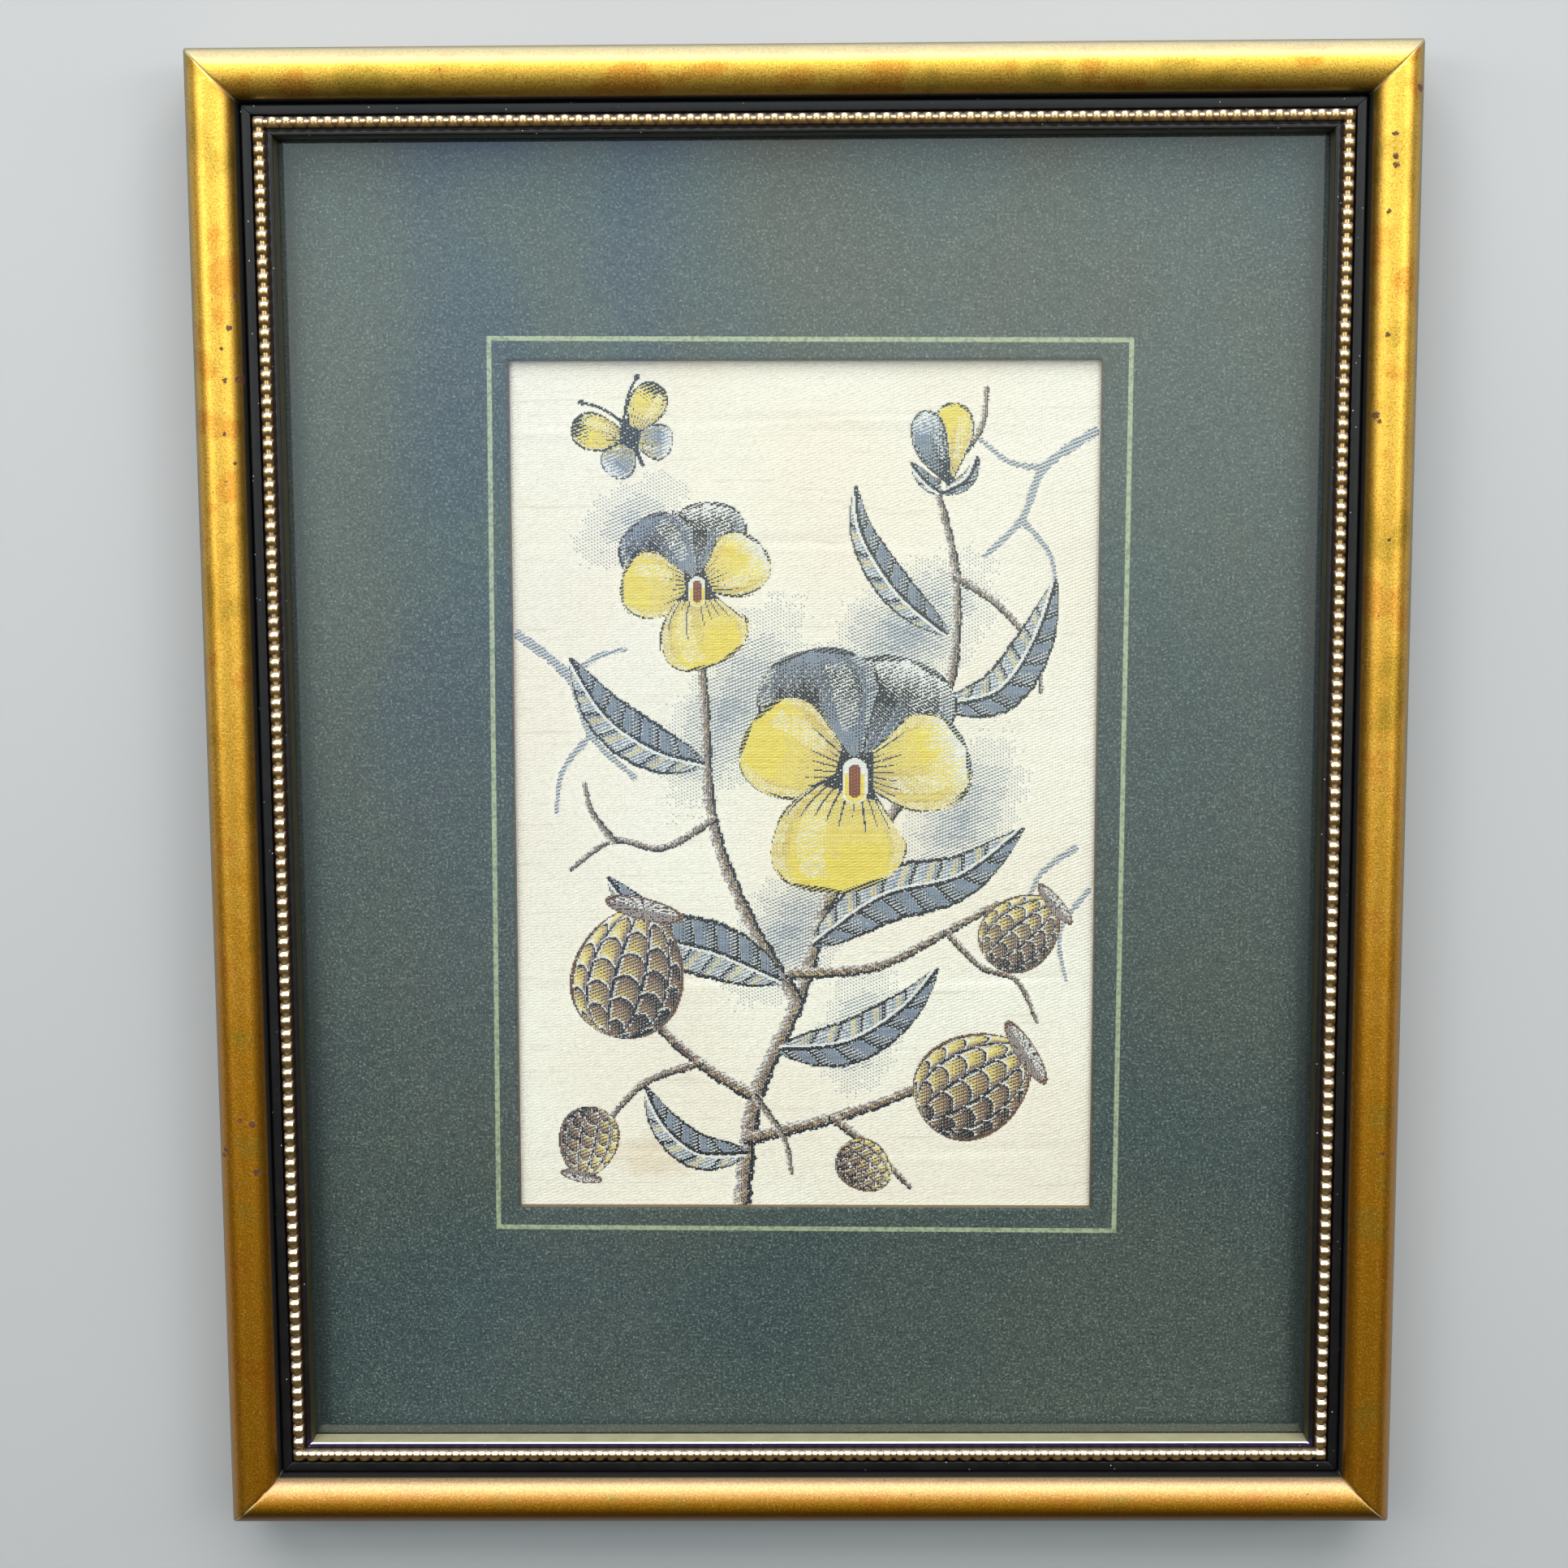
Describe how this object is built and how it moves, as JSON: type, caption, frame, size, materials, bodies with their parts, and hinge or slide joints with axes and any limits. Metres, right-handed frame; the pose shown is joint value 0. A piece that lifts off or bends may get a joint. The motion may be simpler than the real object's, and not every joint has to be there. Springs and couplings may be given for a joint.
{
  "type": "framed woven silk picture",
  "caption": "Small jacquard-woven silk picture of a flower spray, behind glass and a grey-green window mat, in a gilt wooden frame with a black slip and beaded trim.",
  "frame": {"origin": "middle of the frame, on the flat back of the rails", "axes": "+Z out of the picture towards the viewer, +Y to the picture's top edge, +X to its right edge; the picture lies on its back"},
  "size_m": [0.165, 0.205, 0.0146],
  "materials": {
    "gilt": "satin gold bronze paint on wood, worn at the mitres",
    "black_paint": "satin black lacquer on wood",
    "bead_gilt": "pale gilt beads with brown toning between them",
    "glass": "clear picture glass",
    "mat_board": "flecked grey-green paper face with a pale ruled line and a cream bevel",
    "silk": "cream silk, jacquard woven with coloured floats",
    "board": "plain brown hardboard"
  },
  "bodies": {
    "root": {"gold_rail_bottom": "gilt", "gold_rail_right": "gilt", "gold_rail_top": "gilt", "gold_rail_left": "gilt", "black_slip_bottom": "black_paint", "black_slip_right": "black_paint", "black_slip_top": "black_paint", "black_slip_left": "black_paint", "bead_strip_bottom": "bead_gilt", "bead_strip_right": "bead_gilt", "bead_strip_top": "bead_gilt", "bead_strip_left": "bead_gilt", "glass_pane": "glass", "window_mat": "mat_board", "woven_silk": "silk", "backing_board": "board"}
  },
  "joints": []
}
